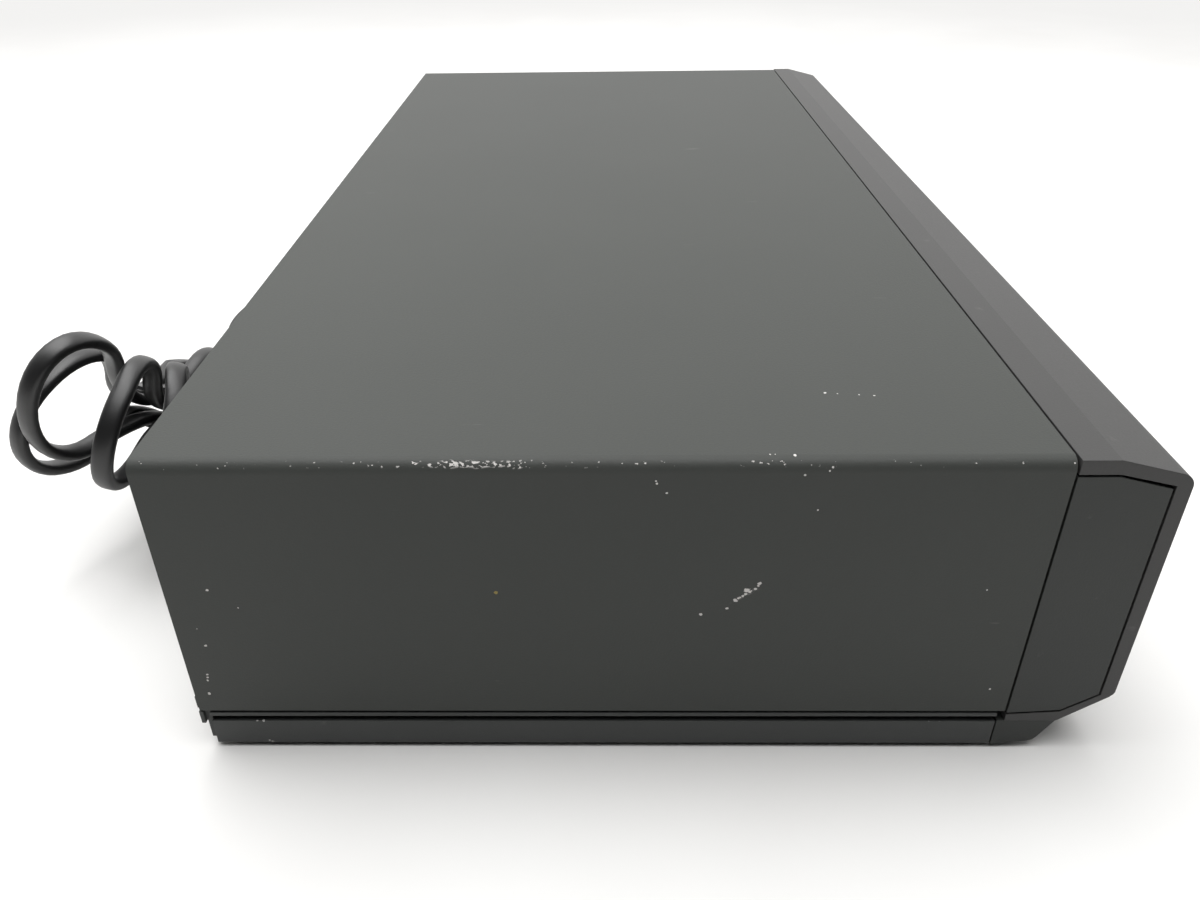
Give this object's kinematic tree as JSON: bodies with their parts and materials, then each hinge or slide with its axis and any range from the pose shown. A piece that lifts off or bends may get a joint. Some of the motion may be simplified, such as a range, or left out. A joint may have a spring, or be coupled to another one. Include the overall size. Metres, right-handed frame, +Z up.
{
  "type": "video cassette recorder",
  "caption": "Full-width front-loading VHS video cassette recorder with sprung cassette door, push buttons, tape transport, cassette lift and a flat two-pin mains lead tied in a hank.",
  "frame": {"origin": "on the floor under the middle of the recorder's own box, without the mains lead", "axes": "+X to the right seen from the front, +Y to the rear, so the front faces -Y, and +Z up"},
  "size_m": [0.43, 0.3011, 0.088],
  "materials": {
    "cover_paint": "satin dark grey-green paint",
    "front_plastic": "satin dark grey plastic",
    "cheek_plastic": "dark grey plastic",
    "tray_plastic": "dark grey plastic",
    "button_plastic": "dark grey plastic",
    "window_plastic": "smoked glossy",
    "display_glass": "display tube glass",
    "green_board": "green solder mask",
    "brown_board": "brown paper laminate",
    "plated_steel": "zinc plated",
    "dark_steel": "black zinc",
    "drum_aluminium": "turned",
    "brass": "turned",
    "rubber": "black",
    "white_plastic": "natural acetal",
    "socket_plastic": "black",
    "tin_plate": "tin plate",
    "winding": "varnished",
    "cord_vinyl": "soft black vinyl"
  },
  "bodies": {
    "deck": {"chassis_frame": "tray_plastic", "bottom_plate": "plated_steel", "feet": "rubber", "top_cover": "cover_paint", "screws": "dark_steel", "rear_panel": "tray_plastic", "front_carrier": "cheek_plastic", "front_skirt": "cheek_plastic", "front_fascia": "front_plastic", "display_window": "window_plastic", "display_tube": "display_glass", "front_board": "green_board", "deck_chassis": "plated_steel", "deck_posts": "plated_steel", "drum_base": "drum_aluminium", "lower_drum": "drum_aluminium", "capstan_bearing": "brass", "drive_belt": "rubber", "tape_heads": "tin_plate", "lift_frames": "plated_steel", "lift_bridge": "plated_steel", "lift_motor": "white_plastic", "main_board": "green_board", "tuner_can": "tin_plate", "scart_sockets": "socket_plastic", "phono_sockets": "tin_plate", "power_board": "brown_board", "transformer": "winding", "strain_relief": "cord_vinyl", "mains_cord": "cord_vinyl", "hank_tie": "cord_vinyl", "mains_hank": "cord_vinyl", "mains_tail": "cord_vinyl", "mains_plug": "cord_vinyl"},
    "door": {"cassette_door": "front_plastic"},
    "power_key": {"power_button": "button_plastic"},
    "eject_key": {"eject_button": "button_plastic"},
    "rewind_key": {"rewind_button": "button_plastic"},
    "play_key": {"play_button": "button_plastic"},
    "fast_forward_key": {"fast_forward_button": "button_plastic"},
    "stop_key": {"stop_button": "button_plastic"},
    "pause_key": {"pause_button": "button_plastic"},
    "record_key": {"record_button": "button_plastic"},
    "rocker": {"channel_rocker": "button_plastic"},
    "head_drum": {"upper_drum": "drum_aluminium"},
    "capstan_rotor": {"capstan": "plated_steel"},
    "centre_drive": {"centre_pulley": "white_plastic"},
    "idler": {"idler_arm": "plated_steel"},
    "idler_tyre": {"idler_wheel": "rubber"},
    "supply_table": {"supply_reel": "white_plastic"},
    "take_up_table": {"take_up_reel": "white_plastic"},
    "tension_lever": {"tension_arm": "plated_steel"},
    "pinch_lever": {"pinch_arm": "plated_steel"},
    "pinch_wheel": {"pinch_roller": "rubber"},
    "supply_loader": {"supply_guide": "plated_steel"},
    "take_up_loader": {"take_up_guide": "plated_steel"},
    "sliders": {"slider_left": "white_plastic", "slider_right": "white_plastic"},
    "lift_shaft": {"sync_shaft": "white_plastic"},
    "holder": {"cassette_holder": "plated_steel"}
  },
  "joints": [
    {"name": "door_swing", "type": "hinge", "parent": "deck", "child": "door", "pos_m": [0, -0.11405, 0.0796], "axis": [1, 0, 0], "range_deg": [0, 84], "stiffness_Nm_per_rad": 0.004, "springref_deg": -28.65},
    {"name": "press_power", "type": "slide", "parent": "deck", "child": "power_key", "axis": [0, 1, 0], "range_m": [0, 0.001], "stiffness_N_per_m": 300},
    {"name": "press_eject", "type": "slide", "parent": "deck", "child": "eject_key", "axis": [0, 1, 0], "range_m": [0, 0.001], "stiffness_N_per_m": 300},
    {"name": "press_rewind", "type": "slide", "parent": "deck", "child": "rewind_key", "axis": [0, 1, 0], "range_m": [0, 0.001], "stiffness_N_per_m": 300},
    {"name": "press_play", "type": "slide", "parent": "deck", "child": "play_key", "axis": [0, 1, 0], "range_m": [0, 0.001], "stiffness_N_per_m": 300},
    {"name": "press_fast_forward", "type": "slide", "parent": "deck", "child": "fast_forward_key", "axis": [0, 1, 0], "range_m": [0, 0.001], "stiffness_N_per_m": 300},
    {"name": "press_stop", "type": "slide", "parent": "deck", "child": "stop_key", "axis": [0, 1, 0], "range_m": [0, 0.001], "stiffness_N_per_m": 300},
    {"name": "press_pause", "type": "slide", "parent": "deck", "child": "pause_key", "axis": [0, 1, 0], "range_m": [0, 0.001], "stiffness_N_per_m": 300},
    {"name": "press_record", "type": "slide", "parent": "deck", "child": "record_key", "axis": [0, 1, 0], "range_m": [0, 0.001], "stiffness_N_per_m": 300},
    {"name": "channel_tip", "type": "hinge", "parent": "deck", "child": "rocker", "pos_m": [0.182, -0.11405, 0.066], "axis": [0, 0, 1], "range_deg": [-2.5, 2.5], "stiffness_Nm_per_rad": 0.08},
    {"name": "drum_spin", "type": "hinge", "parent": "deck", "child": "head_drum", "pos_m": [0, 0.06095, 0.026], "axis": [0, 0.1045, 0.9945], "continuous": true},
    {"name": "capstan_spin", "type": "hinge", "parent": "deck", "child": "capstan_rotor", "pos_m": [0.062, 0.02895, 0.02], "axis": [0, 0, 1], "continuous": true},
    {"name": "centre_spin", "type": "hinge", "parent": "deck", "child": "centre_drive", "pos_m": [0, -0.07105, 0.02], "axis": [0, 0, 1], "continuous": true},
    {"name": "idler_swing", "type": "hinge", "parent": "deck", "child": "idler", "pos_m": [0, -0.07105, 0.02], "axis": [0, 0, 1], "range_deg": [-32.5, 32.5]},
    {"name": "idler_spin", "type": "hinge", "parent": "idler", "child": "idler_tyre", "pos_m": [0, -0.04105, 0.024], "axis": [0, 0, 1], "continuous": true},
    {"name": "supply_reel_spin", "type": "hinge", "parent": "deck", "child": "supply_table", "pos_m": [-0.0463, -0.04105, 0.024], "axis": [0, 0, 1], "continuous": true},
    {"name": "take_up_reel_spin", "type": "hinge", "parent": "deck", "child": "take_up_table", "pos_m": [0.0463, -0.04105, 0.024], "axis": [0, 0, 1], "continuous": true},
    {"name": "tension_swing", "type": "hinge", "parent": "deck", "child": "tension_lever", "pos_m": [-0.085, 0.02495, 0.021], "axis": [0, 0, 1], "range_deg": [-8, 32]},
    {"name": "pinch_swing", "type": "hinge", "parent": "deck", "child": "pinch_lever", "pos_m": [0.092, 0.04695, 0.021], "axis": [0, 0, 1], "range_deg": [0, 25]},
    {"name": "pinch_spin", "type": "hinge", "parent": "pinch_lever", "child": "pinch_wheel", "pos_m": [0.0662, 0.04565, 0.03], "axis": [0, 0, 1], "continuous": true},
    {"name": "supply_load", "type": "slide", "parent": "deck", "child": "supply_loader", "axis": [-0.3003, 0.9538, 0], "range_m": [0, 0.056]},
    {"name": "take_up_load", "type": "slide", "parent": "deck", "child": "take_up_loader", "axis": [0.3003, 0.9538, 0], "range_m": [0, 0.056]},
    {"name": "carriage_in", "type": "slide", "parent": "deck", "child": "sliders", "axis": [0, 1, 0], "range_m": [0, 0.06]},
    {"name": "sync_spin", "type": "hinge", "parent": "deck", "child": "lift_shaft", "pos_m": [0, -0.04005, 0.081], "axis": [1, 0, 0], "range_deg": [0, 720]},
    {"name": "carriage_down", "type": "slide", "parent": "sliders", "child": "holder", "axis": [0, 0, -1], "range_m": [0, 0.022]}
  ],
  "couplings": [
    {"joint": "centre_spin", "follows": "capstan_spin", "ratio": 1},
    {"joint": "take_up_load", "follows": "supply_load", "ratio": 1},
    {"joint": "sync_spin", "follows": "carriage_in", "rad_per_m": 208.33}
  ]
}
